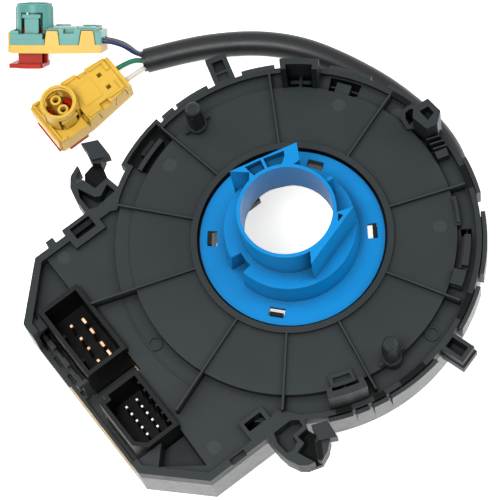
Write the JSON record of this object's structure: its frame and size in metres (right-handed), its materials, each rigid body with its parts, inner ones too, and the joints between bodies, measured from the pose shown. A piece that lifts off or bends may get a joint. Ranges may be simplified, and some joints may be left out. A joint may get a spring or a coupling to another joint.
{
  "type": "steering clock spring",
  "caption": "Steering column clock spring: a round housing with socket block, hooks and posts, a turning cam sleeve and collar, a wound flat cable and a sleeved pigtail with squib plugs.",
  "frame": {"origin": "on the rotor axis at the foot of the wheel-side collar", "axes": "+Z is the rotor axis towards the column side, where the cam sleeve stands; -Y points to the socket block; +X is to the right seen from the column side with the sockets at the bottom"},
  "size_m": [0.185, 0.1415, 0.0567],
  "materials": {
    "charcoal_plastic": "fine moulded texture, glass-filled nylon",
    "black_plastic": "smooth moulded",
    "blue_plastic": "glossy acetal",
    "copper_pins": "drawn copper alloy",
    "tinned_pins": "bright tin plate",
    "tan_board": "cut edge of a resin board",
    "ribbon_film": "laminated polyester film over flat copper",
    "slip_film": "thin slip film",
    "black_sleeve": "smooth flexible tube, matt",
    "blue_wire": "extruded insulation",
    "brown_wire": "extruded insulation",
    "green_wire": "extruded insulation",
    "white_wire": "extruded insulation",
    "yellow_plastic": "moulded polyester",
    "teal_plastic": "moulded polyester",
    "orange_plastic": "moulded polyester"
  },
  "bodies": {
    "stator": {"stator_cover": "charcoal_plastic", "stator_base": "charcoal_plastic", "power_socket": "charcoal_plastic", "power_pins": "copper_pins", "signal_socket": "charcoal_plastic", "signal_pins": "tinned_pins", "terminal_board": "tan_board", "flat_cable": "ribbon_film", "outer_cable_block": "charcoal_plastic", "upper_slip_sheet": "slip_film"},
    "rotor": {"cam_sleeve": "blue_plastic", "rotor_hub": "black_plastic", "lower_slip_sheet": "slip_film", "inner_cable_block": "black_plastic", "switch_socket": "black_plastic", "switch_pins": "tinned_pins", "harness_grommet": "black_plastic", "harness_sleeve": "black_sleeve", "wire_blue": "blue_wire", "wire_brown": "brown_wire", "wire_green": "green_wire", "wire_white": "white_wire", "yellow_plug_body": "yellow_plastic", "yellow_plug_cover": "yellow_plastic", "yellow_plug_terminals": "tinned_pins", "teal_plug_body": "teal_plastic", "teal_plug_cover": "yellow_plastic", "teal_plug_terminals": "tinned_pins"},
    "yellow_lock": {"yellow_plug_lock": "orange_plastic"},
    "teal_lock": {"teal_plug_lock": "orange_plastic"}
  },
  "joints": [
    {"name": "rotor_turn", "type": "hinge", "parent": "stator", "child": "rotor", "pos_m": [0, 0, 0], "axis": [0, 0, 1], "range_deg": [-900, 900], "deforming": ["flat_cable"]},
    {"name": "yellow_lock_slide", "type": "slide", "parent": "rotor", "child": "yellow_lock", "axis": [0, 0, 1], "range_m": [0, 0.0017]},
    {"name": "teal_lock_slide", "type": "slide", "parent": "rotor", "child": "teal_lock", "axis": [-0.6634, 0.5567, 0.5], "range_m": [0, 0.0033]}
  ]
}
